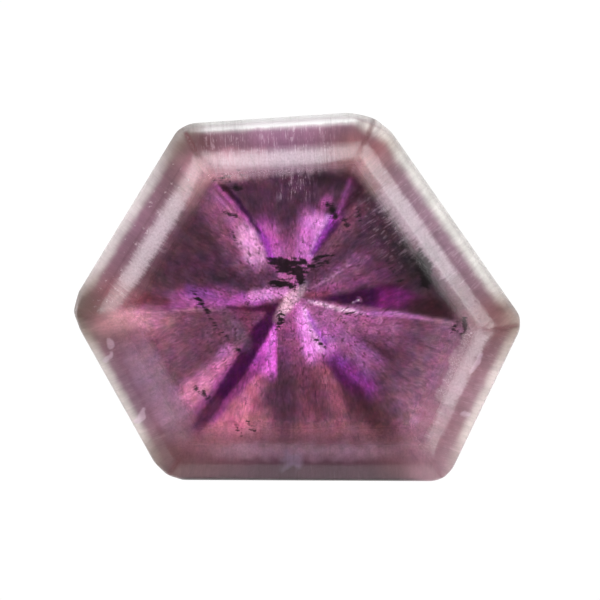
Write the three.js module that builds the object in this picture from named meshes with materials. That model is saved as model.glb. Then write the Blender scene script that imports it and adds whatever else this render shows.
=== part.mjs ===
// A trapiche amethyst slice: one six-sided stone of cloudy purple quartz, ground to a low crown and polished.
// It lies on its flat back, with the crown facing up.
//
// Millimetres, +Z up, +X to the right and +Y towards the top side. The origin is in the middle of the flat back.

import * as THREE from "three";

// The six ground sides, counter-clockwise. Each faces a direction in the plan, in degrees from +X,
// and stands at a distance from the middle. The corner after it is rounded to a radius.
const SIDES = [
  { name: "upper right", faces: 35.0, distance: 10.79, corner: 3.2 },
  { name: "top", faces: 93.8, distance: 11.34, corner: 1.0 },
  { name: "upper left", faces: 148.3, distance: 11.83, corner: 2.0 },
  { name: "lower left", faces: 208.7, distance: 12.94, corner: 2.4 },
  { name: "bottom", faces: 269.7, distance: 11.6, corner: 1.6 },
  { name: "lower right", faces: 334.65, distance: 13.51, corner: 1.55 },
];

// The cross-section of every side, from the flat back up to the face. Inset is measured inwards from the outline.
const THICKNESS = 5.8;
const BACK_INSET = 0.1;
const BACK_EDGE_RADIUS = 0.55;
const GIRDLE_HEIGHT = 1.7;
const BEVEL_FOOT = { inset: 0.2, height: 3.1 };
const BEVEL_FOOT_RADIUS = 1.0;
const FACE_RISE = 0.25; // the face is very slightly domed
const BEVEL_TOP = { inset: 2.05, height: THICKNESS - FACE_RISE - 0.2 };
const SHOULDER_RADIUS = 2.3;
const FACE_INSET = 3.2;

// The corners are sharpest on the bevel, where two ground planes meet, and soft again at the face.
const HIP_RADIUS = 0.7;
const FACE_CORNER_RADIUS = 1.3;

// How finely round stretches are cut into flats.
const CORNER_STEPS = 6;
const SIDE_STEPS = 3;
const EDGE_STEPS = 4;
const SHOULDER_STEPS = 7;
const FACE_RINGS = [0.75, 0.5, 0.25];
const BACK_RINGS = [0.6, 0.3];

const { lerp } = THREE.MathUtils;

// The points of an arc that rounds the corner between two straight runs, from one run to the other.
function fillet(before, corner, after, radius, steps) {
  const back = before.clone().sub(corner).normalize();
  const ahead = after.clone().sub(corner).normalize();
  const half = Math.acos(THREE.MathUtils.clamp(back.dot(ahead), -1, 1)) / 2;
  const centre = corner.clone().addScaledVector(back.clone().add(ahead).normalize(), radius / Math.sin(half));
  const start = corner.clone().addScaledVector(back, radius / Math.tan(half)).sub(centre);
  const end = corner.clone().addScaledVector(ahead, radius / Math.tan(half)).sub(centre);
  const turn = Math.atan2(start.cross(end), start.dot(end));
  const points = [];
  for (let i = 0; i <= steps; i++) {
    points.push(start.clone().rotateAround(new THREE.Vector2(), (turn * i) / steps).add(centre));
  }
  return points;
}

// The point where two neighbouring sides would meet, had the corner not been rounded.
function cornerPoint(side, next, inset) {
  const a = THREE.MathUtils.degToRad(side.faces);
  const b = THREE.MathUtils.degToRad(next.faces);
  const reachA = side.distance - inset;
  const reachB = next.distance - inset;
  const across = Math.sin(b - a);
  return new THREE.Vector2(
    (reachA * Math.sin(b) - reachB * Math.sin(a)) / across,
    (reachB * Math.cos(a) - reachA * Math.cos(b)) / across,
  );
}

// The radius of a corner at an inset: the stone's own at the outline, tight on the bevel, soft at the face.
function cornerRadius(side, inset) {
  const hipInset = (BEVEL_FOOT.inset + BEVEL_TOP.inset) / 2;
  if (inset < hipInset) return lerp(side.corner, HIP_RADIUS, Math.max(inset, 0) / hipInset);
  const share = (inset - hipInset) / (FACE_INSET - hipInset);
  return lerp(HIP_RADIUS, FACE_CORNER_RADIUS, Math.min(share, 1));
}

// One closed outline, parallel to the sides.
function outline(inset) {
  const corners = SIDES.map((side, i) => cornerPoint(side, SIDES[(i + 1) % SIDES.length], inset));
  const rounded = corners.map((corner, i) => {
    const before = corners[(i + corners.length - 1) % corners.length];
    const after = corners[(i + 1) % corners.length];
    return fillet(before, corner, after, cornerRadius(SIDES[i], inset), CORNER_STEPS);
  });
  const points = [];
  rounded.forEach((arc, i) => {
    const end = arc[CORNER_STEPS];
    const nextStart = rounded[(i + 1) % rounded.length][0];
    points.push(...arc);
    for (let j = 1; j < SIDE_STEPS; j++) points.push(end.clone().lerp(nextStart, j / SIDE_STEPS));
  });
  return points;
}

// The cross-section as points whose x is the inset and whose y is the height.
function crossSection() {
  const back = new THREE.Vector2(FACE_INSET, 0);
  const backEdge = new THREE.Vector2(BACK_INSET, 0);
  const girdle = new THREE.Vector2(0, GIRDLE_HEIGHT);
  const bevelFoot = new THREE.Vector2(BEVEL_FOOT.inset, BEVEL_FOOT.height);
  const bevelTop = new THREE.Vector2(BEVEL_TOP.inset, BEVEL_TOP.height);
  const face = new THREE.Vector2(FACE_INSET + 1, THICKNESS - FACE_RISE);
  return [
    ...fillet(back, backEdge, girdle, BACK_EDGE_RADIUS, EDGE_STEPS),
    girdle,
    ...fillet(girdle, bevelFoot, bevelTop, BEVEL_FOOT_RADIUS, EDGE_STEPS + 1),
    ...fillet(bevelFoot, bevelTop, face, SHOULDER_RADIUS, SHOULDER_STEPS),
  ];
}

// Every ring of points has the same count, so that neighbours join with quads and the two middles with fans.
function stoneGeometry() {
  const rings = crossSection().map((point) => outline(point.x).map((p) => [p.x, p.y, point.y]));
  const back = rings[0];
  const face = rings[rings.length - 1];
  const faceHeight = face[0][2];
  for (const share of BACK_RINGS) {
    rings.unshift(back.map(([x, y]) => [x * share, y * share, 0]));
  }
  for (const share of FACE_RINGS) {
    const height = lerp(THICKNESS, faceHeight, share ** 2);
    rings.push(face.map(([x, y]) => [x * share, y * share, height]));
  }
  const count = back.length;
  const points = [...rings.flat(), [0, 0, 0], [0, 0, THICKNESS]];
  const backMiddle = points.length - 2;
  const faceMiddle = points.length - 1;
  const last = (rings.length - 1) * count;
  const triangles = [];
  for (let i = 0; i < count; i++) {
    const j = (i + 1) % count;
    triangles.push(backMiddle, j, i);
    triangles.push(faceMiddle, last + i, last + j);
    for (let base = 0; base < last; base += count) {
      triangles.push(base + i, base + j, base + count + j);
      triangles.push(base + i, base + count + j, base + count + i);
    }
  }
  const geometry = new THREE.BufferGeometry();
  geometry.setAttribute("position", new THREE.Float32BufferAttribute(points.flat(), 3));
  geometry.setIndex(triangles);
  return geometry;
}

// The middle of the outline's box comes to the origin, and the back stays at height 0.
function centred(geometry) {
  geometry.computeBoundingBox();
  const middle = geometry.boundingBox.getCenter(new THREE.Vector3());
  geometry.translate(-middle.x, -middle.y, 0);
  return geometry;
}

const amethyst = new THREE.MeshStandardMaterial({ color: 0x8c5a78, roughness: 0.12, metalness: 0 });

const slice = new THREE.Mesh(centred(stoneGeometry()), amethyst);
slice.name = "amethyst_slice";

const part = new THREE.Group();
part.add(slice);

export default part;
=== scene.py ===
"""A polished trapiche amethyst slice, lying on its flat back and seen from above, in the CAD's frame."""

import math

import bpy
import numpy as np
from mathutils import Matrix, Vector, noise


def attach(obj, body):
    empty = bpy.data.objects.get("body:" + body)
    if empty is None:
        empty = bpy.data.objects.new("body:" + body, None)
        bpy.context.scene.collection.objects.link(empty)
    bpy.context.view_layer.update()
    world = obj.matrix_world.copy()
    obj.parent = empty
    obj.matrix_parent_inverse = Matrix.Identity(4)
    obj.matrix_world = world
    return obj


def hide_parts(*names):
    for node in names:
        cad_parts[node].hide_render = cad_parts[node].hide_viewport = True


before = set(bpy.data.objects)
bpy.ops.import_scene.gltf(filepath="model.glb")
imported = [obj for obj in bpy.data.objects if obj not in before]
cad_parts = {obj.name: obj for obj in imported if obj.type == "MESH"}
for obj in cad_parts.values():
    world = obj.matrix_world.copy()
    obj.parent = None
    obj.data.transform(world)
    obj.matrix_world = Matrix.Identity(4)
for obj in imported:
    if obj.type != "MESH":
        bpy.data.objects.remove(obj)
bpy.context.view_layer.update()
bpy.ops.object.select_all(action="DESELECT")


# The camera. It looks down on the stone from a little past overhead, on the top side's side, through a
# long close-up lens, so the top side's edge shows and the bottom side's is hidden.
MM = 0.001
CAMERA_TILT = math.radians(7)
CAMERA_DISTANCE = 250 * MM
CAMERA_AIM = Vector((0.2, -0.2, 1.2)) * MM
VIEW_WIDTH = 37.7 * MM

back_along_view = Vector((0, math.sin(CAMERA_TILT), math.cos(CAMERA_TILT)))
camera_place = CAMERA_AIM + back_along_view * CAMERA_DISTANCE
bpy.ops.object.camera_add(location=camera_place, rotation=(-CAMERA_TILT, 0, 0))
camera = bpy.context.object
camera.name = "camera"
camera.data.sensor_width = 36
camera.data.lens = camera.data.sensor_width * CAMERA_DISTANCE / VIEW_WIDTH
camera.data.clip_start = 10 * MM
camera.data.clip_end = 5
bpy.context.scene.camera = camera


# The stone: one piece of quartz, sawn across a six-sided crystal. Its back is ground flat, and six uneven
# sides stand on it. A slope leans in over each side, and a round shoulder leads on to the polished face.
# Its sizes are in millimetres, and its sides come counter-clockwise.
STONE_SIDES = [  # the way each side faces, in degrees from +X, its distance, and the next corner's radius
    (35.0, 10.79, 3.2),
    (93.8, 11.34, 1.0),
    (148.3, 11.83, 2.0),
    (208.7, 12.94, 2.4),
    (269.7, 11.6, 1.6),
    (334.65, 13.51, 1.55),
]
UPPER_RIGHT, TOP, UPPER_LEFT, LOWER_LEFT, BOTTOM, LOWER_RIGHT = range(6)  # their places in that list
THICKNESS = 5.8
BACK_EDGE = np.array((-0.1, 0.0))  # points of a side's cross-section: outward from the outline, and up
GIRDLE = np.array((0.0, 1.7))
SLOPE_FOOT = np.array((-0.2, 3.1))
SLOPE_TOP = np.array((-2.05, 5.35))
FACE_EDGE = np.array((-4.2, 5.55))
BACK_EDGE_RADIUS = 0.55
SLOPE_FOOT_RADIUS = 1.0
SHOULDER_RADIUS = 2.3
FACE_RISE = 0.36  # the face is domed by this much above the shoulder
FACE_INSET = 3.0
DOME_SQUARENESS = 8  # how closely the dome keeps to the six sides
EDGE_CUTS = 4
CORNER_CUTS = 6
SHOULDER_CUTS = 8
BLANK_SIZE = (34, 32)
REMESH_SIZE = 0.21  # on the crown, the mesh is cut twice as fine as this
CROWN_FACING = 0.1  # the crown is all that faces up by more than this
SHOULDER_TURNS = np.array((3.0, 1.1, 1.6, 1.6, 1.8, 1.8))  # how tightly the shoulder turns each corner
SLOPE_TURN = 9.0  # and how tightly the slopes do
SHARP_SIDE = BOTTOM  # where the foot of the slope isn't worn round


def unit(angle):
    """A step of one, in the direction of an angle in radians."""
    return np.array((math.cos(angle), math.sin(angle)))


def meeting_point(angle_a, reach_a, angle_b, reach_b):
    """Where two straight sides meet, each given by the way it faces and its distance."""
    return np.linalg.solve(np.array((unit(angle_a), unit(angle_b))), np.array((reach_a, reach_b)))


def rounding_cuts(corner, angle_a, angle_b, radius, count):
    """The flat cuts that round a corner over: the way each one faces, and a point on it."""
    a, b = unit(angle_a), unit(angle_b)
    centre = corner - radius * (a + b) / (1 + a @ b)
    angles = [angle_a + (angle_b - angle_a) * i / (count + 1) for i in range(1, count + 1)]
    return [(angle, centre + radius * unit(angle)) for angle in angles]


def facing(start, end):
    """The way that the straight stretch from start to end of the cross-section faces."""
    run = end - start
    return math.atan2(-run[0], run[1])


def grind(way, reach, tilt, point):
    """Grinds off all that lies past one flat cut, at a point of a side's cross-section."""
    out = unit(way)
    middle = out * (reach + point[0])
    facet = out * math.cos(tilt)
    bpy.ops.mesh.select_all(action="SELECT")
    bpy.ops.mesh.bisect(
        plane_co=Vector((*middle, point[1])) * MM,
        plane_no=(*facet, math.sin(tilt)),
        use_fill=True,
        clear_outer=True,
    )


low_wall_tilt = facing(BACK_EDGE, GIRDLE)
high_wall_tilt = facing(GIRDLE, SLOPE_FOOT)
slope_tilt = facing(SLOPE_FOOT, SLOPE_TOP)
face_tilt = facing(SLOPE_TOP, FACE_EDGE)
wall_cuts = [
    (low_wall_tilt, GIRDLE),
    (high_wall_tilt, GIRDLE),
    *rounding_cuts(BACK_EDGE, -math.pi / 2, low_wall_tilt, BACK_EDGE_RADIUS, EDGE_CUTS),
]
slope_foot_cuts = rounding_cuts(SLOPE_FOOT, high_wall_tilt, slope_tilt, SLOPE_FOOT_RADIUS, EDGE_CUTS)
slope_cuts = [(slope_tilt, SLOPE_TOP)]
shoulder_cuts = [
    *rounding_cuts(SLOPE_TOP, slope_tilt, face_tilt, SHOULDER_RADIUS, SHOULDER_CUTS),
    (face_tilt, SLOPE_TOP),
]

bpy.ops.mesh.primitive_cube_add(size=1, location=(0, 0, THICKNESS * MM / 2))
stone = bpy.context.object
stone.name = "polished_stone"
stone.scale = Vector((*BLANK_SIZE, THICKNESS)) * MM
bpy.ops.object.transform_apply(location=True, rotation=True, scale=True)
bpy.ops.object.mode_set(mode="EDIT")
for i, (way, reach, corner_radius) in enumerate(STONE_SIDES):
    next_way, next_reach, _ = STONE_SIDES[(i + 1) % len(STONE_SIDES)]
    way = math.radians(way)
    next_way = way + (math.radians(next_way) - way) % math.tau
    for tilt, point in wall_cuts + slope_cuts + shoulder_cuts:
        grind(way, reach, tilt, point)
    if i != SHARP_SIDE:
        for tilt, point in slope_foot_cuts:
            grind(way, reach, tilt, point)
    corner = meeting_point(way, reach, next_way, next_reach)
    for corner_way, touching in rounding_cuts(corner, way, next_way, corner_radius, CORNER_CUTS):
        for tilt, point in wall_cuts:
            grind(corner_way, touching @ unit(corner_way), tilt, point)
bpy.ops.object.mode_set(mode="OBJECT")

# The outline's box is centred, as the CAD's is.
low, high = np.array(stone.bound_box).min(0), np.array(stone.bound_box).max(0)
bpy.ops.transform.translate(value=(-(low[0] + high[0]) / 2, -(low[1] + high[1]) / 2, 0))
off_middle = np.array(((low[0] + high[0]) / 2, (low[1] + high[1]) / 2)) / MM
bpy.ops.object.transform_apply(location=True, rotation=True, scale=True)

remesh = stone.modifiers.new("even_mesh", "REMESH")
remesh.mode = "VOXEL"
remesh.voxel_size = REMESH_SIZE * MM
bpy.ops.object.modifier_apply(modifier=remesh.name)

bpy.ops.object.mode_set(mode="EDIT")
bpy.ops.mesh.select_all(action="DESELECT")
bpy.ops.object.mode_set(mode="OBJECT")
for face in stone.data.polygons:
    face.select = face.center[2] > GIRDLE[1] * MM and face.normal[2] > CROWN_FACING
bpy.ops.object.mode_set(mode="EDIT")
bpy.ops.mesh.subdivide(number_cuts=1)
bpy.ops.object.mode_set(mode="OBJECT")


def fade(value, start, end, low=0.0, high=1.0):
    """Goes softly from low to high while the value goes from start to end."""
    share = np.clip((value - start) / (end - start), 0, 1)
    return low + (high - low) * share * share * (3 - 2 * share)


def read_points():
    """Where the points of the stone's mesh are, in millimetres."""
    places = np.empty(len(stone.data.vertices) * 3)
    stone.data.vertices.foreach_get("co", places)
    return places.reshape(-1, 3) / MM


def nearest_corner(insets_here):
    """The corner nearest to a place that is so far in from each side, as its first side's number."""
    pair = np.sort(np.argsort(insets_here, 1)[:, :2], 1)
    return np.where((pair == (UPPER_RIGHT, LOWER_RIGHT)).all(1), LOWER_RIGHT, pair[:, 0])


def height_under(tilt, point, inset_here):
    """How high the stone may stand under a flat cut of its sides, so far in from the outline."""
    return point[1] + (inset_here + point[0]) / math.tan(tilt)


# The shoulder turns the corners in soft curves and the face is domed, so the crown is lowered to that.
outs = np.array([unit(math.radians(way)) for way, _, _ in STONE_SIDES])
reaches = np.array([reach for _, reach, _ in STONE_SIDES])
vertices = read_points()
plan = vertices[:, :2] + off_middle
insets = reaches - plan @ outs.T
on_slope = fade(insets.min(1), 1.0, 3.4, 1, 0)
turn = SHOULDER_TURNS[nearest_corner(insets)] ** (1 - on_slope) * SLOPE_TURN**on_slope
soft_inset = -np.log(np.exp(-turn[:, None] * insets).sum(1)) / turn
heights = [height_under(tilt, point, soft_inset) for tilt, point in slope_cuts + shoulder_cuts]
for tilt, point in slope_foot_cuts:
    under_foot = height_under(tilt, point, soft_inset)
    heights.append(np.where(insets.argmin(1) == SHARP_SIDE, THICKNESS, under_foot))
shares = np.maximum(plan @ outs.T, 0) / (reaches - FACE_INSET)
heights.append(THICKNESS - FACE_RISE * (shares**DOME_SQUARENESS).sum(1) ** (2 / DOME_SQUARENESS))
lowered = np.minimum(vertices[:, 2], np.min(heights, 0))
vertices[:, 2] = np.where(vertices[:, 2] > GIRDLE[1], lowered, vertices[:, 2])
stone.data.vertices.foreach_set("co", (vertices * MM).ravel())
stone.data.update()

smooth = stone.modifiers.new("worn_edges", "SMOOTH")
smooth.factor = 0.5
smooth.iterations = 12
bpy.ops.object.modifier_apply(modifier=smooth.name)
bpy.ops.object.shade_smooth()


# What shows inside it: six cloudy sectors, between the arms of a star of clearer purple quartz that grew
# from one core. The zones are painted on the mesh's points, and the material adds the fine marks.
# Every zone stands through the whole thickness, leans a little and widens downwards.
def slide(value, start, end, low=0.0, high=1.0):
    """Goes evenly from low to high while the value goes from start to end."""
    return low + (high - low) * np.clip((value - start) / (end - start), 0, 1)


def srgb(red, green, blue):
    """A colour of 0 to 255 as the paint takes it."""
    levels = [level / 255 for level in (red, green, blue)]
    return np.array([v / 12.92 if v <= 0.04045 else ((v + 0.055) / 1.055) ** 2.4 for v in levels])


def lay(share, under, over):
    """Lays one colour over another by a share from 0 to 1."""
    share = np.asarray(share)[..., None]
    return under * (1 - share) + over * share


MARKS_SEED = 1  # without it the marks would change with each run
noise.seed_set(MARKS_SEED)


def random_marks(size, seed=0.0):
    """Two soft random numbers from about -1 to 1 for each place in the plan, in marks of about that size."""
    return np.array([noise.noise_vector((x / size, y / size, seed))[:2] for x, y in zones])


# Where a point lies from the nearest ground side: how far in from it, how far along it, and how far the
# next nearest side is beyond that, which is nothing on the hip between two sides. The slopes bend the view,
# so what is on the back near the rim looks moved and squeezed, and the back is painted to make up for it.
SLOPE_SHIFTS = np.array((1.08, 1.29, 1.08, 1.0, 0.91, 1.0))
SLOPE_SQUEEZES = np.array((1.46, 1.55, 1.46, 1.42, 1.39, 1.42))
points = read_points()
height = points[:, 2]
depth = THICKNESS - height
near_back = fade(height, 1.0, 0.3)
outline_plan = points[:, :2] + off_middle
side_inset = reaches - outline_plan @ outs.T
side_run = outline_plan @ np.array([(-out[1], out[0]) for out in outs]).T
side = side_inset.argmin(1)
real_inset = side_inset.min(1)
seen_inset = (real_inset - SLOPE_SHIFTS[side]) / SLOPE_SQUEEZES[side]
under_slope = fade(real_inset, 4.2, 2.4)
bent = (real_inset - seen_inset) * near_back * under_slope
inset = real_inset - bent
side_inset = side_inset - bent[:, None]
run = side_run[np.arange(len(points)), side]
past_hip = np.sort(side_inset, 1)[:, 1] - inset

LEAN = math.tan(math.radians(4.5))  # the zones lean towards the bottom side, going down
SPREAD = 1 / 390  # and widen by this share with each millimetre
zones = points[:, :2] * (1 - SPREAD * depth)[:, None] + outs[side] * bent[:, None]
zones[:, 1] += LEAN * depth
wandering = zones + 0.15 * random_marks(3.0) + 0.06 * random_marks(0.6, seed=5.0)
ragged = zones + 0.15 * random_marks(1.3, seed=9.0) + 0.1 * random_marks(0.4, seed=14.0)
wobble = 0.5 * random_marks(0.5, seed=20.0)[:, 0]

CRISPNESS = 0.5  # the share of its softness that the edge of a band or a vein takes


def glow(ends, widths, softness, strength=1.0, fading=0.22):
    """The share of a straight band between two points, with its half widths there and the softness of its
    left and its right edge, in millimetres. Fading is the share of its length in which each end fades."""
    start, end = np.array(ends)
    length = math.hypot(*(end - start))
    ahead = (end - start) / length
    along = (wandering - start) @ ahead / length
    aside = (wandering - start) @ np.array((-ahead[1], ahead[0]))
    width = slide(along, 0, 1, *widths)
    left = fade(width - aside, -CRISPNESS * softness[0], CRISPNESS * softness[0])
    right = fade(width + aside, -CRISPNESS * softness[1], CRISPNESS * softness[1])
    return strength * left * right * fade(along, -fading, fading) * fade(along, 1 + fading, 1 - fading)


def distance_past(way, widths, where):
    """How far a place is outside of a line through some points, with its half width at each one."""
    nearest = np.full(len(where), 99.0)
    for i in range(len(way) - 1):
        start, run = np.array(way[i]), np.array(way[i + 1]) - np.array(way[i])
        along = np.clip((where - start) @ run / (run @ run), 0, 1)
        distance = np.linalg.norm(where - start - along[:, None] * run, axis=1)
        nearest = np.minimum(nearest, distance - widths[i] - along * (widths[i + 1] - widths[i]))
    return nearest


def vein(way, widths, softness, strength=1.0):
    """The share of a line through some points, with its half width at each, in millimetres."""
    edge = CRISPNESS * softness
    return strength * fade(distance_past(way, widths, wandering), edge, -edge)


def spot(middle, size, turn=0.0, softness=0.5, strength=1.0, where=wandering):
    """The share of an oval spot. Size is its half length and half width, in millimetres."""
    ahead = unit(math.radians(turn))
    along = (where - middle) @ ahead / size[0]
    aside = (where - middle) @ np.array((-ahead[1], ahead[0])) / size[1]
    return strength * fade(np.hypot(along, aside), 1 + softness, 1 - softness)


def paint_spots(colour, spots):
    """Lays oval spots over a colour, each with its middle, size, turn, softness, colour and strength."""
    for middle, size, turned, softness, shade, strength in spots:
        colour = lay(spot(middle, size, turned, softness, strength), colour, shade)
    return colour


CORE = (-0.3, 0.4)
core_reach = np.linalg.norm(wandering - CORE, axis=1)
bearing = np.degrees(np.arctan2(wandering[:, 1] - CORE[1], wandering[:, 0] - CORE[0]))

# The six sectors, from the left arm round by the bottom: where each starts and ends, in degrees, and its
# colour near the core, half way out and near its side.
SECTORS = [
    (-180, -130, srgb(128, 66, 106), srgb(116, 68, 94), srgb(126, 82, 102)),
    (-130, -54, srgb(166, 84, 140), srgb(98, 54, 77), srgb(124, 78, 96)),
    (-54, -4, srgb(158, 88, 140), srgb(84, 47, 68), srgb(144, 97, 124)),
    (-4, 64, srgb(104, 60, 90), srgb(70, 42, 60), srgb(66, 44, 54)),
    (64, 120, srgb(182, 98, 158), srgb(84, 49, 70), srgb(78, 48, 64)),
    (120, 180, srgb(104, 60, 92), srgb(82, 50, 68), srgb(86, 54, 62)),
]
SECTOR_EDGE = 5  # degrees on either side, in which one sector goes over into the next
colour = np.zeros((len(points), 3))
for start, end, near, middle, far in SECTORS:
    share = fade(bearing, start - SECTOR_EDGE, start + SECTOR_EDGE) if start > -180 else 1.0
    tone = lay(fade(core_reach, 2.5, 5.3), near, middle)
    tone = lay(fade(core_reach, 6.5, 10.5), tone, far)
    colour = lay(share * np.ones(len(points)), colour, tone)

# Broad patches in the sectors: darker clouds, and paler and rosier clear places.
BROWN = srgb(62, 34, 40)
SOOT = srgb(44, 34, 38)
BLACK = srgb(24, 16, 20)
CLOUDS = [
    ((6.1, 4.3), (1.9, 1.4), -50, 0.9, srgb(66, 44, 60), 0.5),
    ((7.4, 2.6), (2.1, 0.95), -50, 0.6, SOOT, 0.85),
    ((7.9, 2.3), (1.5, 0.45), -52, 0.5, BLACK, 0.8),
    ((-0.3, 6.9), (2.8, 1.4), 0, 0.8, srgb(80, 48, 72), 0.7),
    ((1.8, 7.9), (1.3, 0.55), 0, 0.7, BLACK, 0.7),
    ((3.7, 7.6), (0.8, 1.3), -10, 0.8, BROWN, 0.8),
    ((3.0, 3.6), (1.9, 0.9), 35, 0.9, srgb(92, 58, 84), 0.5),
    ((-6.3, 4.3), (2.3, 1.6), 50, 0.8, srgb(80, 48, 62), 0.6),
    ((-4.4, 2.6), (2.3, 1.0), 0, 0.9, srgb(76, 42, 66), 0.8),
    ((-3.8, 1.7), (1.5, 0.5), 5, 0.7, srgb(56, 38, 54), 0.75),
    ((5.1, -6.6), (2.9, 1.1), -50, 0.9, BROWN, 0.7),
    ((-4.6, -7.7), (2.1, 1.1), 20, 0.9, srgb(214, 124, 146), 0.7),
    ((-0.4, -8.0), (4.6, 1.1), 0, 0.9, srgb(158, 97, 112), 0.65),
    ((7.6, -7.6), (1.9, 1.0), 40, 0.9, srgb(180, 124, 148), 0.6),
    ((-9.2, -1.6), (1.9, 1.0), 10, 0.9, srgb(176, 108, 128), 0.6),
    ((-11.0, 0.2), (1.6, 1.1), 0, 0.9, srgb(180, 115, 125), 0.6),
    ((-7.7, -5.7), (1.6, 2.8), 30, 0.9, srgb(128, 86, 106), 0.6),
    ((-0.7, -5.4), (0.8, 3.3), 2, 0.7, srgb(74, 44, 66), 0.75),
    ((0.7, -5.1), (0.75, 2.5), 4, 0.9, srgb(120, 64, 84), 0.5),
]
colour = paint_spots(colour, CLOUDS)

# The arms. Each has veins, and bands of clearer quartz on one or both of its sides. A line gives the points
# of a band or a vein, its half widths, the softness of its edges, its colour and its strength.
DEEP_VIOLET = srgb(58, 16, 60)
upper_left_arm = [
    (glow, ((-2.4, 2.6), (-5.2, 6.9)), (1.1, 1.1), (1.3, 0.6), srgb(176, 104, 146), 0.6),
    (glow, ((-1.9, 2.7), (-3.3, 4.9)), (0.75, 0.7), (0.9, 0.4), srgb(228, 150, 214), 0.9),
    (glow, ((-3.1, 4.6), (-4.9, 7.2)), (0.5, 0.4), (0.9, 0.4), srgb(188, 112, 164), 0.7),
    (glow, ((-1.0, 2.9), (-2.2, 5.3)), (0.5, 0.4), (0.3, 1.2), srgb(196, 92, 180), 0.8),
    (vein, ((-1.55, 2.9), (-1.9, 3.8), (-2.5, 4.9)), (0.2, 0.24, 0.16), 0.2, srgb(166, 58, 182), 0.9),
    (
        vein,
        ((-2.3, 4.5), (-3.2, 5.8), (-4.1, 6.9), (-4.9, 7.6)),
        (0.12, 0.2, 0.22, 0.14),
        0.12,
        DEEP_VIOLET,
        0.95,
    ),
    (vein, ((-2.7, 4.8), (-3.7, 6.0), (-5.0, 7.5)), (0.1, 0.14, 0.1), 0.14, srgb(176, 84, 160), 0.75),
    (vein, ((-3.9, 5.9), (-4.6, 6.7), (-5.3, 7.6)), (0.06, 0.1, 0.05), 0.09, srgb(96, 44, 72), 0.8),
    (vein, ((-3.9, 6.6), (-4.5, 7.3), (-5.0, 7.7)), (0.14, 0.2, 0.14), 0.2, srgb(52, 22, 34), 0.85),
]
upper_right_arm = [
    (glow, ((0.3, 2.9), (1.0, 5.6)), (0.5, 0.8), (0.9, 0.5), srgb(214, 120, 206), 0.9),
    (glow, ((1.7, 3.6), (3.6, 6.2)), (0.4, 0.7), (0.4, 1.2), srgb(138, 80, 108), 0.7),
    (vein, ((0.8, 3.2), (1.5, 4.5), (1.9, 5.4)), (0.16, 0.3, 0.2), 0.25, srgb(224, 150, 232), 0.8),
    (vein, ((0.9, 3.3), (1.8, 4.6), (2.5, 5.5)), (0.14, 0.26, 0.3), 0.2, srgb(146, 52, 162), 0.95),
    (vein, ((1.1, 3.3), (2.1, 4.5), (2.8, 5.5)), (0.05, 0.16, 0.2), 0.15, srgb(66, 20, 66), 0.85),
    (vein, ((2.5, 5.4), (3.0, 6.4), (3.4, 7.6)), (0.25, 0.24, 0.3), 0.35, srgb(136, 66, 128), 0.75),
    (vein, ((2.8, 5.6), (3.4, 6.6), (3.8, 7.7)), (0.14, 0.3, 0.5), 0.4, srgb(52, 22, 36), 0.85),
]
right_arm = [
    (glow, ((0.6, 0.9), (4.6, 3.0)), (0.3, 0.7), (0.9, 1.2), srgb(150, 88, 132), 0.55),
    (glow, ((0.7, 0.8), (5.6, 1.9)), (0.15, 0.4), (0.4, 0.5), srgb(150, 76, 126), 0.5),
    (vein, ((0.8, 1.0), (2.4, 2.0), (3.4, 2.6)), (0.05, 0.07, 0.04), 0.12, srgb(206, 140, 186), 0.6),
    (glow, ((0.8, -0.1), (6.4, -1.5)), (0.45, 1.1), (0.25, 1.4), srgb(166, 96, 146), 0.5),
    (glow, ((0.4, 0.6), (2.0, 0.6)), (0.2, 0.35), (0.3, 0.3), srgb(124, 58, 82), 0.75),
    (glow, ((1.2, 0.45), (6.2, 0.55)), (0.05, 0.86), (0.3, 0.2), srgb(58, 8, 58), 0.97),
    (glow, ((5.0, 0.6), (7.3, 0.2)), (0.8, 0.4), (0.6, 0.5), srgb(124, 36, 110), 0.75),
    (glow, ((6.6, 0.0), (10.1, -0.3)), (0.4, 0.75), (0.6, 0.25), srgb(50, 24, 32), 0.95),
    (vein, ((0.8, 0.2), (2.6, -0.15), (4.2, -0.5)), (0.07, 0.12, 0.08), 0.12, srgb(250, 200, 236), 0.85),
    (vein, ((3.9, -0.45), (6.1, -0.6), (8.2, -0.85)), (0.12, 0.16, 0.06), 0.15, srgb(196, 112, 196), 0.7),
    (vein, ((6.1, -0.6), (8.2, -0.85), (9.8, -1.15)), (0.08, 0.06, 0.04), 0.12, srgb(196, 132, 164), 0.6),
    (vein, ((3.45, 0.22), (3.9, 0.38)), (0.04, 0.03), 0.05, srgb(255, 240, 250), 0.95),
]
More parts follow.
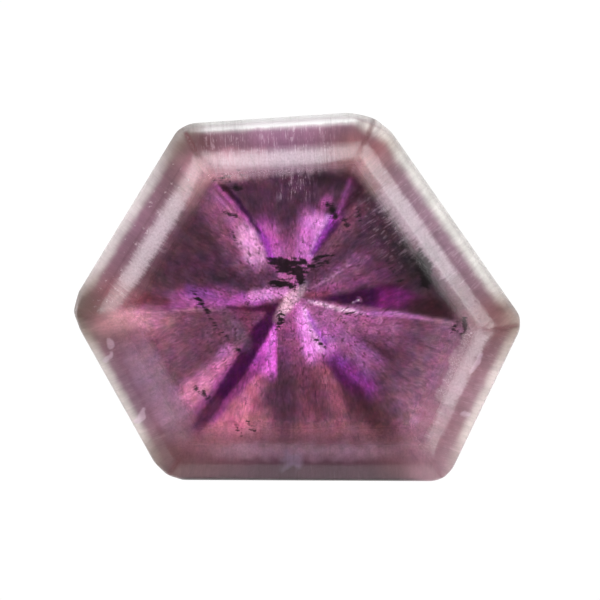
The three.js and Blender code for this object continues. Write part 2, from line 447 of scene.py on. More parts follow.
lower_right_arm = [
    (glow, ((1.6, -0.9), (4.8, -4.0)), (0.5, 0.9), (0.5, 1.2), srgb(178, 102, 168), 0.6),
    (glow, ((1.2, -2.8), (2.8, -6.5)), (0.3, 0.5), (0.6, 1.2), srgb(186, 102, 128), 0.6),
    (glow, ((0.15, -0.3), (1.5, -3.0)), (0.3, 1.0), (0.5, 0.5), srgb(255, 148, 246), 0.95),
    (glow, ((1.0, -1.2), (2.4, -2.9)), (0.3, 0.7), (0.5, 0.9), srgb(206, 120, 200), 0.6),
    (vein, ((0.4, -0.2), (0.9, -1.4), (1.5, -2.6)), (0.1, 0.26, 0.25), 0.25, srgb(244, 170, 238), 0.8),
    (vein, ((0.6, -0.4), (1.1, -1.4), (1.8, -2.2)), (0.06, 0.14, 0.14), 0.15, srgb(184, 84, 200), 0.8),
    (glow, ((1.9, -2.8), (4.6, -5.5)), (0.35, 0.62), (0.9, 0.9), srgb(146, 52, 152), 0.8),
    (glow, ((1.9, -3.3), (4.2, -5.9)), (0.2, 0.4), (0.7, 0.5), srgb(80, 16, 76), 0.85),
    (glow, ((3.4, -5.4), (6.4, -8.8)), (0.6, 0.8), (1.2, 1.0), srgb(78, 40, 48), 0.75),
]
lower_left_arm = [
    (glow, ((-3.4, -2.7), (-6.6, -6.2)), (0.6, 1.1), (0.4, 1.2), srgb(220, 128, 180), 0.85),
    (glow, ((-2.3, -4.2), (-4.6, -8.0)), (0.6, 1.1), (1.0, 0.5), srgb(204, 112, 146), 0.75),
    (glow, ((-1.35, -0.9), (-2.1, -4.0)), (0.03, 0.95), (0.2, 0.15), srgb(250, 112, 238), 0.95),
    (vein, ((-1.4, -1.5), (-1.6, -2.4), (-1.7, -3.2)), (0.05, 0.16, 0.2), 0.25, srgb(238, 136, 238), 0.6),
    (glow, ((-2.2, -2.4), (-5.9, -7.2)), (0.95, 0.75), (0.35, 0.5), srgb(132, 36, 122), 0.7),
    (
        vein,
        ((-1.4, -0.5), (-2.3, -1.7), (-3.5, -3.8), (-5.1, -6.1), (-6.1, -7.5)),
        (0.4, 0.54, 0.5, 0.4, 0.36),
        0.22,
        srgb(60, 4, 58),
        0.97,
    ),
    (vein, ((-5.0, -6.0), (-5.7, -6.9), (-6.4, -7.9)), (0.3, 0.5, 0.5), 0.5, srgb(88, 42, 66), 0.75),
]
left_arm = [
    (glow, ((-6.0, 0.4), (-10.3, 0.1)), (0.4, 0.4), (0.4, 1.2), srgb(166, 92, 136), 0.6),
    (glow, ((-3.8, 0.4), (-7.5, 0.2)), (0.5, 0.45), (0.45, 1.6), srgb(190, 92, 172), 0.75),
    (vein, ((-4.3, 0.2), (-5.6, 0.6), (-6.6, 0.9)), (0.2, 0.4, 0.3), 0.6, srgb(124, 60, 144), 0.6),
    (vein, ((-2.2, 0.5), (-3.3, 0.5), (-4.3, 0.1)), (0.4, 0.3, 0.1), 0.3, srgb(176, 84, 168), 0.9),
    (vein, ((-0.7, 0.8), (-1.6, 0.75), (-2.6, 0.65)), (0.3, 0.38, 0.3), 0.35, srgb(222, 140, 208), 0.9),
    (vein, ((-4.3, -0.1), (-2.9, -0.15), (-1.2, -0.1)), (0.08, 0.16, 0.26), 0.15, srgb(62, 8, 50), 0.95),
    (vein, ((-8.0, 0.3), (-9.2, 0.5), (-10.1, 0.2)), (0.2, 0.34, 0.2), 0.5, srgb(106, 46, 56), 0.8),
    (vein, ((-4.0, -0.4), (-7.8, -0.3), (-10.8, -0.5)), (0.03, 0.06, 0.06), 0.12, srgb(206, 136, 170), 0.65),
]
for arm in (upper_left_arm, upper_right_arm, right_arm, lower_right_arm, lower_left_arm, left_arm):
    for draw, way, widths, softness, shade, strength in arm:
        colour = lay(draw(way, widths, softness, strength), colour, shade)

# Blots on the arms, where the quartz is clear, rosy or stained.
BLOTS = [
    ((-2.9, 3.0), (0.5, 0.3), -30, 0.6, srgb(240, 168, 216), 0.7),
    ((-3.1, 4.1), (0.55, 0.9), 30, 0.7, srgb(240, 168, 216), 0.6),
    ((-4.6, 8.3), (1.3, 0.6), 0, 0.7, srgb(206, 140, 160), 0.75),
    ((1.2, 5.1), (0.4, 0.6), -20, 0.6, srgb(236, 150, 226), 0.7),
    ((1.7, 6.3), (0.5, 0.3), 50, 0.8, srgb(190, 96, 170), 0.7),
    ((-3.3, -0.6), (1.0, 0.35), 0, 0.8, srgb(116, 52, 82), 0.7),
    ((-4.4, -2.8), (0.5, 0.4), 40, 0.6, srgb(200, 120, 190), 0.6),
    ((-6.4, -5.3), (0.9, 0.6), 40, 0.6, srgb(206, 132, 158), 0.6),
    ((-3.8, -1.5), (1.25, 0.55), -60, 0.6, srgb(112, 78, 100), 0.8),
    ((5.1, -1.1), (1.6, 0.6), -8, 0.8, srgb(176, 100, 150), 0.5),
]
colour = paint_spots(colour, BLOTS)

# The core is a cracked, pinkish white grain.
core_grain = spot((-0.43, 0.25), (1.35, 0.42), turn=52, softness=0.35, strength=0.9, where=ragged)
colour = lay(core_grain, colour, srgb(240, 184, 212))

# Black flakes of iron ore lie round the core and out in the sectors, with thin cracks between them.
FLAKES = [  # the points of each, and its half widths
    (((-1.95, 2.85), (-1.0, 2.7), (0.4, 2.62)), (0.08, 0.3, 0.22)),
    (((-1.2, 2.35), (-0.6, 2.25), (0.0, 2.25)), (0.18, 0.32, 0.28)),
    (((0.0, 2.2), (0.1, 1.9), (0.2, 1.5)), (0.3, 0.32, 0.22)),
    (((-1.45, 1.35), (-0.9, 1.3), (-0.3, 1.4)), (0.2, 0.26, 0.16)),
    (((0.6, 2.65), (1.3, 3.0), (2.2, 3.2)), (0.1, 0.16, 0.06)),
    (((0.4, 2.2), (1.2, 2.6), (1.9, 2.8)), (0.14, 0.1, 0.05)),
    (((0.2, 1.8), (0.8, 2.1), (1.4, 2.5)), (0.08, 0.05, 0.02)),
    (((1.9, 6.3), (2.2, 5.9), (2.45, 5.4)), (0.12, 0.22, 0.1)),
    (((-0.4, 1.2), (0.1, 1.0), (0.5, 1.1)), (0.04, 0.03, 0.02)),
    (((7.7, 3.6), (8.0, 2.6), (7.95, 1.4)), (0.25, 0.42, 0.32)),
    (((2.6, -0.85), (2.9, -0.6), (3.6, -0.5), (4.3, -0.6)), (0.05, 0.04, 0.1, 0.04)),
    (((1.1, -2.1), (1.4, -2.3), (1.7, -2.5)), (0.06, 0.09, 0.05)),
    (((3.6, 6.1), (3.7, 5.7), (3.9, 5.3)), (0.06, 0.12, 0.06)),
    (((2.9, 5.5), (3.0, 5.1), (3.2, 4.6)), (0.04, 0.09, 0.04)),
    (((-1.1, -0.5), (-1.0, -1.0), (-1.2, -1.4)), (0.18, 0.22, 0.06)),
    (((10.2, -0.9), (10.4, -1.4), (10.2, -2.0)), (0.18, 0.24, 0.16)),
    (((9.5, -1.6), (9.8, -1.1), (10.3, -0.8)), (0.06, 0.06, 0.12)),
    (((-3.8, -7.5), (-3.6, -7.8), (-3.4, -8.1)), (0.05, 0.1, 0.05)),
    (((-3.1, -7.2), (-2.8, -7.6), (-2.6, -7.9)), (0.04, 0.06, 0.04)),
    (((-4.1, 4.6), (-3.9, 4.3), (-3.8, 4.1)), (0.04, 0.08, 0.04)),
    (((-4.5, 5.8), (-4.1, 5.6), (-3.7, 5.5)), (0.06, 0.1, 0.06)),
    (((-5.0, 7.7), (-4.6, 7.8), (-4.3, 8.1)), (0.06, 0.12, 0.06)),
    (((-4.4, 7.1), (-3.9, 7.2), (-3.4, 7.3)), (0.06, 0.12, 0.06)),
    (((-3.6, 8.3), (-3.4, 8.0), (-3.2, 7.8)), (0.06, 0.1, 0.05)),
    (((-4.2, 8.1), (-4.1, 7.7)), (0.06, 0.06)),
    (((-6.2, -5.0), (-6.1, -5.3), (-6.0, -5.4)), (0.05, 0.1, 0.05)),
    (((-5.7, -5.3), (-5.6, -5.5), (-5.4, -5.8)), (0.05, 0.1, 0.05)),
    (((-5.2, -5.4), (-5.3, -5.6), (-5.5, -5.9)), (0.04, 0.08, 0.04)),
    (((-6.0, 0.5), (-5.5, -0.5), (-4.6, -1.6), (-3.5, -2.9)), (0.05, 0.07, 0.05, 0.03)),
    (((-6.2, 0.7), (-5.8, 0.2), (-5.5, -0.4)), (0.08, 0.16, 0.08)),
    (((5.6, 2.8), (6.0, 2.2), (6.4, 1.5)), (0.05, 0.06, 0.04)),
]
flake_gap = np.full(len(points), 99.0)
for way, widths in FLAKES:
    flake_gap = np.minimum(flake_gap, distance_past(way, widths, ragged))

# Near the outline the stone is thin and ground, so each side has a tone of its own, browner by the corners.
# The tones also hold painted shade: darker on the lower left, darkest on the bottom side, which face no
# softbox.
SLOPE_TONES_AND_SHADE = np.array([
    srgb(160, 122, 142),
    srgb(158, 106, 140),
    srgb(138, 94, 116),
    srgb(126, 86, 108),
    srgb(62, 38, 50),
    srgb(154, 112, 124),
])
near_corner = fade(past_hip, 4.5, 0.5, 0, 0.7)
slope_tone_and_shade = lay(near_corner, SLOPE_TONES_AND_SHADE[side], srgb(125, 82, 86))
slope_inset = inset + np.where(side == BOTTOM, 0.4, 0)  # the bottom side's shade is narrower
colour = lay(fade(slope_inset, 3.4, 1.7, 0, 0.85), colour, slope_tone_and_shade)


def patch(side, runs, insets, softness=(0.8, 0.25), strength=1.0, ragged_by=0.5):
    """The share of a stretch along one side, from run to run and from inset to inset, in millimetres."""
    run_here = side_run[:, side]
    in_here = side_inset[:, side] + ragged_by * wobble
    begun = fade(run_here, runs[0] - softness[0], runs[0] + softness[0])
    ended = fade(run_here, runs[1] + softness[0], runs[1] - softness[0])
    outer = fade(in_here, insets[0] - softness[1], insets[0] + softness[1])
    inner = fade(in_here, insets[1] + softness[1], insets[1] - softness[1])
    return strength * begun * ended * outer * inner


# Painted highlights on the shoulders: faint pale bands on the lower left and the bottom side, with a bluish
# spot on the bottom, and pinkish ones where the upper shoulders near a corner.
on_crown = fade(height, 1.5, 3.0)
PAINTED_SHOULDER_HIGHLIGHTS = [  # the side, the runs, the insets, the softness, the strength, how ragged, and the colour
    (BOTTOM, (-4.8, 5.4), (2.0, 2.8), (2.0, 0.4), 0.8, 0.5, srgb(196, 158, 184)),
    (BOTTOM, (-0.9, 0.3), (1.4, 2.2), (0.3, 0.4), 0.5, 1.5, srgb(200, 190, 230)),
    (TOP, (1.5, 6.5), (1.6, 3.3), (1.0, 0.4), 0.75, 0.5, srgb(232, 160, 180)),
    (UPPER_LEFT, (-4.5, -1.5), (1.8, 3.2), (0.8, 0.5), 0.7, 0.5, srgb(226, 168, 176)),
    (TOP, (-6.5, -2.8), (1.6, 3.2), (0.8, 0.5), 0.7, 0.5, srgb(190, 134, 138)),
    (UPPER_RIGHT, (2.8, 6.5), (1.6, 3.0), (0.8, 0.5), 0.7, 0.5, srgb(190, 138, 142)),
]
colour = lay(patch(LOWER_LEFT, (-2.5, 3.6), (1.9, 3.2), (1.5, 0.5), 0.6), colour, srgb(190, 152, 184))
for side_of, runs, insets, softness, strength, ragged_by, shade in PAINTED_SHOULDER_HIGHLIGHTS:
    band = patch(side_of, runs, insets, softness, strength, ragged_by)
    colour = lay(on_crown * band, colour, shade)

# A whitish haze lies on the shoulders: partly their worn, rougher finish, partly a painted highlight where
# the softboxes shine on them.
SHOULDER_WEAR_AND_HIGHLIGHTS = [  # the side, the runs, the insets, the softness and the strength
    (UPPER_RIGHT, (-4.2, -0.4), (1.6, 2.55), (0.8, 0.3), 1.0),
    (UPPER_RIGHT, (-0.8, 2.9), (1.6, 2.9), (1.0, 0.5), 1.0),
    (TOP, (-2.4, 4.6), (1.8, 3.3), (1.6, 0.45), 1.0),
    (UPPER_LEFT, (-2.0, 4.7), (1.6, 2.8), (0.9, 0.4), 1.0),
    (LOWER_RIGHT, (-1.6, 3.4), (2.0, 3.4), (0.5, 0.4), 1.0),
    (LOWER_RIGHT, (-4.8, -1.6), (2.2, 3.0), (1.0, 0.5), 0.4),
]
worn_and_highlit = np.zeros(len(points))
for side_of, runs, insets, softness, strength in SHOULDER_WEAR_AND_HIGHLIGHTS:
    ragged_by = 0.8 if side_of == LOWER_RIGHT else 0.25
    worn_and_highlit = np.maximum(worn_and_highlit, on_crown * patch(side_of, runs, insets, softness, strength, ragged_by))

# Pale scratches cross the slopes and run on to the face.
SCRATCHED = [  # the side, the runs, the insets, the softness and the strength
    (TOP, (-2.7, 5.0), (0.4, 2.6), (1.0, 0.3), 0.9),
    (TOP, (-1.4, 0.8), (2.3, 4.7), (0.5, 0.5), 0.8),
    (UPPER_RIGHT, (-1.5, 3.4), (0.9, 4.6), (1.0, 0.9), 0.5),
    (UPPER_RIGHT, (-5.5, 4.0), (0.7, 1.7), (1.0, 0.3), 0.5),
    (UPPER_LEFT, (-2.0, 6.0), (1.4, 3.0), (1.0, 0.3), 0.4),
    (LOWER_LEFT, (-4.0, 4.0), (0.2, 2.0), (1.0, 0.3), 0.1),
    (LOWER_RIGHT, (-5.0, 4.0), (0.3, 2.8), (1.0, 0.3), 0.25),
]
scratched = np.zeros(len(points))
for side_of, runs, insets, softness, strength in SCRATCHED:
    scratched = np.maximum(scratched, on_crown * patch(side_of, runs, insets, softness, strength))

# The outline itself and the wall have a ground, frosty finish, and their paleness is mostly painted light:
# the white room shining through the thin edge and mirrored in it, which the bottom side's outline, turned
# away, doesn't get. On the top side a painted highlight, a bright line, parts the pale edge from the slope,
# and the bottom side ends in a dark line of painted shade.
PALE_RIM_WIDTHS = np.array((0.6, 0.3, 0.4, 0.6, -3.0, 0.64))
PALE_RIM_TONES = np.array([
    srgb(238, 236, 230),
    srgb(252, 255, 250),
    srgb(232, 226, 222),
    srgb(214, 206, 200),
    srgb(214, 206, 200),
    srgb(226, 212, 208),
])
frost_and_rim_light = fade(inset - PALE_RIM_WIDTHS[side] + 0.2 * wobble, 0.4, -0.3)
on_wall = fade(height, SLOPE_FOOT[1], 2.7) * fade(height, 0.3, 0.6) * fade(real_inset, 0.5, 0.3)
frost_and_rim_light = np.maximum(frost_and_rim_light, on_wall)
corner_grey = fade(past_hip, 3.0, 0.5, 0, 0.6) * np.where(side == TOP, 0.25, 1)
pale_rim_tone = lay(corner_grey, PALE_RIM_TONES[side], srgb(180, 162, 146))
colour = lay(frost_and_rim_light, colour, pale_rim_tone)
# painted highlight: a bright line along the foot of the top side's slope
painted_edge_highlight = patch(TOP, (-4.6, 6.2), (0.12, 0.4), (0.3, 0.08), ragged_by=0.1)
colour = lay(painted_edge_highlight, colour, srgb(255, 255, 255))
# painted shade: a dark line along the bottom side's edge
painted_bottom_edge_shade = patch(BOTTOM, (-8.0, 8.0), (-1.5, 0.4), (0.5, 0.1), strength=0.9, ragged_by=0.0)
colour = lay(painted_bottom_edge_shade, colour, srgb(30, 10, 16))

# A few pale chips on the lower slopes.
PALE_CHIPS = [
    (((-11.6, -2.2), (-11.5, -2.6)), (0.12, 0.2)),
    (((-12.0, -3.5), (-11.7, -3.4), (-11.5, -3.1)), (0.06, 0.12, 0.1)),
    (((-9.9, -7.3), (-9.7, -7.0), (-9.5, -6.6)), (0.16, 0.2, 0.08)),
    (((10.3, -6.8), (10.7, -6.9)), (0.14, 0.08)),
    (((11.4, -3.1), (11.2, -3.6), (10.7, -4.2)), (0.1, 0.14, 0.1)),
]
for way, widths in PALE_CHIPS:
    chip = fade(distance_past(way, widths, ragged), 0.08, -0.04, 0.0, 0.85)
    colour = lay(on_crown * chip, colour, srgb(232, 208, 226))

# Brownish corners, a pale spot of painted rim light by the top right corner, and thin dark lines on the
# hips.
CORNERS = [
    ((-13.3, -0.6), (1.9, 1.9), 0, 0.7, srgb(104, 84, 74), 0.8),
    ((-7.3, 10.3), (1.5, 1.0), 50, 0.7, srgb(112, 90, 82), 0.75),
    ((-8.6, -9.6), (1.6, 1.3), 0, 0.8, srgb(104, 72, 70), 0.7),
    ((13.4, -0.8), (1.4, 1.1), 0, 0.7, srgb(140, 112, 98), 0.65),
    # a pale spot that carries the painted light of the top side's rim to its right corner
    ((5.0, 11.2), (1.4, 0.7), -20, 0.6, srgb(240, 234, 228), 0.9),
    ((-11.0, -0.9), (1.5, 0.7), 0, 0.8, srgb(226, 160, 172), 0.75),
    ((-9.4, -0.9), (1.4, 0.5), 0, 0.8, srgb(226, 150, 184), 0.5),
    ((-11.3, 0.6), (1.1, 0.8), 30, 0.8, srgb(140, 76, 88), 0.8),
    ((-12.6, -0.2), (1.1, 0.7), 20, 0.8, srgb(70, 42, 40), 0.85),
    ((-5.8, 9.9), (0.8, 0.7), 0, 0.8, srgb(96, 44, 54), 0.7),
    ((4.0, 9.8), (1.5, 0.6), 0, 0.8, srgb(136, 66, 72), 0.75),
    ((12.2, -0.8), (1.2, 0.9), 0, 0.8, srgb(134, 78, 80), 0.7),
    ((8.7, -10.0), (1.6, 1.2), 30, 0.8, srgb(170, 128, 144), 0.6),
]
colour = paint_spots(colour, CORNERS)
HIP_LINES = np.array((0.8, 1.0, 0.0, 0.6, 0.2, 0.8))  # how dark the line is on each hip
on_slope = fade(inset, 0.2, 0.5) * fade(inset, 2.0, 1.6)
hip_line = fade(past_hip, 0.26, 0.05) * on_slope * HIP_LINES[nearest_corner(side_inset)]
colour = lay(hip_line, colour, srgb(96, 40, 48))
slope_line = patch(UPPER_LEFT, (-3.6, 7.0), (1.22, 1.32), (0.5, 0.08), strength=0.6, ragged_by=0.0)
colour = lay(slope_line, colour, srgb(90, 56, 62))


def keep(name, kind, values):
    """Keeps a value for every point of the mesh, for the material to read."""
    layer = stone.data.attributes.new(name, kind, "POINT")
    key = {"FLOAT": "value", "FLOAT_VECTOR": "vector", "FLOAT_COLOR": "color"}[kind]
    layer.data.foreach_set(key, np.ascontiguousarray(values, dtype=np.float32).ravel())


# The fibres of a sector fan out from a root behind the core. Near a side, the grinding marks run inwards.
FAN_ROOT = 4.0
FIBRES_ROUND = 18  # how much the noise changes in a radian round the root
FIBRES_OUT = 0.2  # and in a millimetre outwards
MARKS_IN = 0.1  # the grinding marks are drawn out ten times
SIDE_SHIFT = 2.0  # so that each side has marks of its own
from_root = zones - CORE + FAN_ROOT * outs[side]
fan_reach = np.linalg.norm(from_root, axis=1)
# the zones' colour also carries the painted highlights, painted shade and painted rim light laid over it
keep("zones", "FLOAT_COLOR", np.hstack((colour, np.ones((len(points), 1)))))
fan_turn = FIBRES_ROUND * from_root / fan_reach[:, None]
keep("fan", "FLOAT_VECTOR", np.hstack((fan_turn, FIBRES_OUT * fan_reach[:, None])))
keep("plan", "FLOAT_VECTOR", np.hstack((zones, np.zeros((len(points), 1)))))
keep("rim", "FLOAT_VECTOR", np.stack((run, MARKS_IN * inset, SIDE_SHIFT * side), 1))
keep("flake_gap", "FLOAT", flake_gap)
keep("cracked", "FLOAT", fade(core_reach, 9.5, 5.5))
keep("worn_and_highlit", "FLOAT", worn_and_highlit)
keep("scratched", "FLOAT", scratched)
keep("frost_and_rim_light", "FLOAT", np.maximum(frost_and_rim_light, painted_edge_highlight))
keep("chipped", "FLOAT", on_crown * patch(UPPER_LEFT, (-4.0, 6.5), (0.7, 2.1), strength=0.8))


# The material: quartz that light passes through, tinted by the zones, with fibres that run out from behind
# the core, mottling, cracks, black flakes, and fine grinding marks near every side.
CRACK_SHADE = (0.05, 0.01, 0.025, 1)
HAIR_SHADE = (0.06, 0.015, 0.035, 1)
SPECK_SHADE = (0.02, 0.006, 0.012, 1)
FLAKE_SHADE = (0.009, 0.005, 0.007, 1)
HAZE_AND_HIGHLIGHT_COLOUR = (0.77, 0.66, 0.72, 1)
SCRATCH_SHADE = (0.84, 0.67, 0.77, 1)
CHIP_SHADE = (0.87, 0.76, 0.8, 1)
POLISHED = 0.07  # how rough the face is
WORN = 0.45  # and how rough a worn place is
COLOUR_MIX_INPUTS = (0, 6, 7)  # the sockets that a Mix node has for colours: the share, under and over
COLOUR_MIX_RESULT = 2
material = bpy.data.materials.new("cloudy_amethyst")
material.use_nodes = True
tree = material.node_tree
tree.nodes.clear()


def put(kind, *values, out=0, **settings):
    """Adds a node, sets it up, joins or fills its inputs in order, and gives back one of its outputs."""
    node = tree.nodes.new("ShaderNode" + kind)
    for name, value in settings.items():
        setattr(node, name, value)
    for socket, value in zip(node.inputs, values):
        if isinstance(value, bpy.types.NodeSocket):
            tree.links.new(value, socket)
        elif value is not None:
            socket.default_value = value
    return node.outputs[out]


def kept(name, out="Fac"):
    """Reads what the mesh's points keep, as a Fac, which is one number, a Vector or a Color."""
    return put("Attribute", attribute_name=name, out=out)


def number(operation, *values):
    """One step of arithmetic."""
    return put("Math", *values, operation=operation)


def random_noise(place, scale, detail, roughness, out="Fac", dimensions="2D"):
    """Soft random marks, with scale for how many there are to a millimetre."""
    return put("TexNoise", place, None, scale, detail, roughness, noise_dimensions=dimensions, out=out)


def random_cells(place, scale, feature="F1", out="Distance"):
    """How far a place is from the middle or the edge of its random cell, or the cell's random colour."""
    return put("TexVoronoi", place, None, scale, feature=feature, voronoi_dimensions="2D", out=out)


def soften(value, start, end, low=0.0, high=1.0, kind="SMOOTHSTEP"):
    """Goes from low to high while the value goes from start to end."""
    return put("MapRange", value, start, end, low, high, interpolation_type=kind)


def tint(share, under, over, how="MIX"):
    """Lays one colour over another by a share from 0 to 1."""
    blend = tree.nodes.new("ShaderNodeMix")
    blend.data_type = "RGBA"
    blend.blend_type = how
    for index, value in zip(COLOUR_MIX_INPUTS, (share, under, over)):
        if isinstance(value, bpy.types.NodeSocket):
            tree.links.new(value, blend.inputs[index])
        else:
            blend.inputs[index].default_value = value
    return blend.outputs[COLOUR_MIX_RESULT]


def brighter(colour, marks, share, by):
    """Makes a colour lighter and darker by random marks around a half."""
    return tint(share, colour, soften(marks, 0.3, 0.7, 1 - by, 1 + by, "LINEAR"), "MULTIPLY")


plan = kept("plan", "Vector")
fan = kept("fan", "Vector")
rim_place = kept("rim", "Vector")
rim_inset = number("MULTIPLY", put("SeparateXYZ", rim_place, out="Y"), 1 / MARKS_IN)
in_stone = soften(rim_inset, 1.0, 3.4, 0.15, 0.9)
broad_fibres = random_noise(fan, scale=0.5, detail=2.0, roughness=0.5, dimensions="3D")
fine_fibres = random_noise(fan, scale=3.0, detail=4.0, roughness=0.75, dimensions="3D")
streaks = random_noise(rim_place, scale=5.0, detail=3.0, roughness=0.7, dimensions="3D")
fine_streaks = random_noise(rim_place, scale=14.0, detail=2.0, roughness=0.6, dimensions="3D")
mottle = random_noise(plan, scale=2.0, detail=4.0, roughness=0.65)
speckle = random_noise(plan, scale=7.0, detail=2.0, roughness=0.6)
hues = random_noise(plan, scale=1.3, detail=3.0, roughness=0.6, out="Color")

# The zones, with fibres, mottling and small changes of hue.
colour = kept("zones", "Color")
colour = brighter(colour, broad_fibres, 0.65, 0.3)
colour = brighter(colour, fine_fibres, 0.6, 0.28)
colour = brighter(colour, mottle, in_stone, 0.3)
colour = brighter(colour, speckle, in_stone, 0.28)
colour = tint(number("MULTIPLY", in_stone, 0.4), colour, hues, "SOFT_LIGHT")

# The grains round the core, the cracks between them, dark hairs along the fibres and small dark specks.
shifts = random_noise(plan, scale=3.0, detail=3.0, roughness=0.7, out="Color")
shifted = put("VectorMath", shifts, (0.5, 0.5, 0.0), plan, operation="MULTIPLY_ADD")
grains = random_cells(shifted, scale=2.4, out="Color")
cracked = kept("cracked")
colour = brighter(colour, grains, number("MULTIPLY", cracked, 0.7), 0.2)
crackle = random_cells(shifted, scale=1.5, feature="DISTANCE_TO_EDGE")
cracks = number("MULTIPLY", soften(crackle, 0.08, 0.03), soften(mottle, 0.48, 0.58))
colour = tint(number("MULTIPLY", cracks, number("MULTIPLY", cracked, 0.75)), colour, CRACK_SHADE)
hairs = soften(fine_fibres, 0.38, 0.3, 0, 0.45)
colour = tint(number("MULTIPLY", hairs, in_stone), colour, HAIR_SHADE)
specks = soften(random_cells(shifted, scale=2.8), 0.15, 0.08)
specks = number("MULTIPLY", specks, soften(mottle, 0.5, 0.56, 0, 0.8))
colour = tint(number("MULTIPLY", specks, cracked), colour, SPECK_SHADE)

# The black flakes, with torn edges.
torn_place = put("VectorMath", plan, (0.45, 1.5, 1.0), operation="MULTIPLY")
torn_edge = random_noise(torn_place, scale=4.0, detail=4.0, roughness=0.75)
torn_edge = number("MULTIPLY_ADD", torn_edge, 1.0, -0.47)
flaked = soften(number("ADD", kept("flake_gap"), torn_edge), 0.05, -0.04, 0.0, 0.97)
colour = tint(flaked, colour, FLAKE_SHADE)

# The grinding marks near the sides, the haze on the shoulders, worn and with a painted highlight, the
# scratches, and chips on the upper left.
colour = brighter(colour, streaks, soften(rim_inset, 4.2, 2.0, 0.0, 0.8), 0.22)
worn_and_highlit = number("MULTIPLY_ADD", streaks, 1.6, number("SUBTRACT", kept("worn_and_highlit"), 0.8))
worn_and_highlit = number("MULTIPLY", soften(worn_and_highlit, 0.2, 0.9, 0, 0.6), soften(speckle, 0.3, 0.7, 0.6, 1.0))
colour = tint(worn_and_highlit, colour, HAZE_AND_HIGHLIGHT_COLOUR)
broad_scratches = soften(streaks, 0.54, 0.64, 0, 0.8)
fine_scratches = soften(fine_streaks, 0.54, 0.64, 0, 0.8)
scratches = number("MAXIMUM", broad_scratches, fine_scratches)
scratches = number("MULTIPLY", scratches, soften(mottle, 0.44, 0.56))
scratched = number("MULTIPLY", kept("scratched"), scratches)
colour = tint(scratched, colour, SCRATCH_SHADE)
chips = number("MULTIPLY_ADD", speckle, 0.4, random_cells(shifted, scale=2.2))
chips = number("MULTIPLY", soften(chips, 0.4, 0.3), soften(mottle, 0.5, 0.6))
colour = tint(number("MULTIPLY", chips, kept("chipped")), colour, CHIP_SHADE)

shader = tree.nodes.new("ShaderNodeBsdfPrincipled")
tree.links.new(colour, shader.inputs["Base Color"])
worn = number("MAXIMUM", worn_and_highlit, number("MAXIMUM", scratched, kept("frost_and_rim_light")))
worn = number("MAXIMUM", worn, soften(rim_inset, 4.0, 2.6, 0.0, 0.6))
roughness = soften(worn, 0, 1, POLISHED, WORN, "LINEAR")
tree.links.new(roughness, shader.inputs["Roughness"])
shader.inputs["Transmission Weight"].default_value = 0.95
shader.inputs["IOR"].default_value = 1.55
marks = number("MULTIPLY_ADD", mottle, 1.5, number("MULTIPLY_ADD", speckle, 0.5, streaks))
marks = number("MULTIPLY", marks, soften(rim_inset, 4.0, 2.2))
bump = tree.nodes.new("ShaderNodeBump")
bump.inputs["Strength"].default_value = 0.6
bump.inputs["Distance"].default_value = 0.02 * MM
tree.links.new(marks, bump.inputs["Height"])
tree.links.new(bump.outputs[0], shader.inputs["Normal"])
surface = tree.nodes.new("ShaderNodeOutputMaterial")
tree.links.new(shader.outputs[0], surface.inputs["Surface"])
stone.data.materials.append(material)

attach(stone, "root")
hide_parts("amethyst_slice")


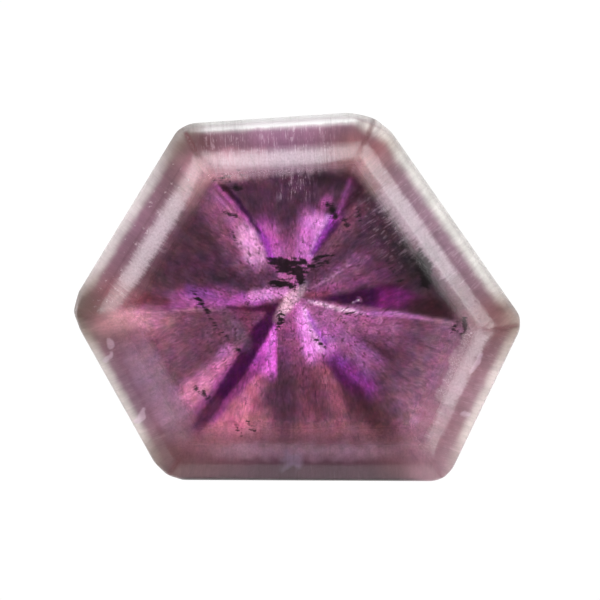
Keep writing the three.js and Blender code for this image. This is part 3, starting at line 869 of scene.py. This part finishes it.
# The light pad: a small white sheet under the stone that glows, so that light comes up through it. It fills
# the view and ends soon after, so the slopes mirror only the dark table that it lies on.
PAD_SIZE = 41 * MM
PAD_GAP = 0.02 * MM
PAD_GLOW = 1.02
bpy.ops.object.select_all(action="DESELECT")
bpy.ops.mesh.primitive_plane_add(size=PAD_SIZE, location=(CAMERA_AIM.x, CAMERA_AIM.y, -PAD_GAP))
pad = bpy.context.object
pad.name = "light_pad"
pad_material = bpy.data.materials.new("glowing_sheet")
pad_material.use_nodes = True
pad_shader = pad_material.node_tree.nodes["Principled BSDF"]
pad_shader.inputs["Base Color"].default_value = (0, 0, 0, 1)
pad_shader.inputs["Roughness"].default_value = 0.9
pad_shader.inputs["Specular IOR Level"].default_value = 0.0
pad_shader.inputs["Emission Color"].default_value = (1, 1, 1, 1)
pad_shader.inputs["Emission Strength"].default_value = PAD_GLOW
pad.data.materials.append(pad_material)


# The table: a dull dark board that the sheet lies on. It reaches far past the view, and only the slopes
# mirror it.
TABLE_SIZE = 2
TABLE_GAP = 0.5 * MM
bpy.ops.mesh.primitive_plane_add(size=TABLE_SIZE, location=(0, 0, -TABLE_GAP))
table = bpy.context.object
table.name = "table"
table_material = bpy.data.materials.new("dark_table")
table_material.use_nodes = True
table_shader = table_material.node_tree.nodes["Principled BSDF"]
table_shader.inputs["Base Color"].default_value = (0.05, 0.05, 0.05, 1)
table_shader.inputs["Roughness"].default_value = 0.9
table_shader.inputs["Specular IOR Level"].default_value = 0.0
table.data.materials.append(table_material)


# The light: four tall softboxes, each out from one of the stone's sides, with nothing over the stone but
# a dim room.
SOFTBOXES = [  # the way each stands from the stone, its height above the horizon, and its strength
    (148, 36, 8.0),
    (94, 39, 8.0),
    (35, 36, 8.0),
    (335, 38, 5.0),
]
SOFTBOX_DISTANCE = 0.6
SOFTBOX_SIZE = (0.3, 0.62)  # how wide and how tall
ROOM_GLOW = 0.1
for way, height, strength in SOFTBOXES:
    out = unit(math.radians(way)) * math.cos(math.radians(height))
    place = Vector((*out, math.sin(math.radians(height)))) * SOFTBOX_DISTANCE
    lamp = bpy.data.lights.new(f"softbox_{way}", "AREA")
    lamp.shape = "RECTANGLE"
    lamp.size, lamp.size_y = SOFTBOX_SIZE
    lamp.energy = strength * lamp.size * lamp.size_y * math.pi
    softbox = bpy.data.objects.new(lamp.name, lamp)
    softbox.location = place
    softbox.rotation_euler = place.to_track_quat("Z", "Y").to_euler()
    bpy.context.scene.collection.objects.link(softbox)
world = bpy.data.worlds.new("studio")
bpy.context.scene.world = world
world.use_nodes = True
world.node_tree.nodes["Background"].inputs["Color"].default_value = (1, 1, 1, 1)
world.node_tree.nodes["Background"].inputs["Strength"].default_value = ROOM_GLOW
bpy.context.scene.view_settings.view_transform = "Standard"
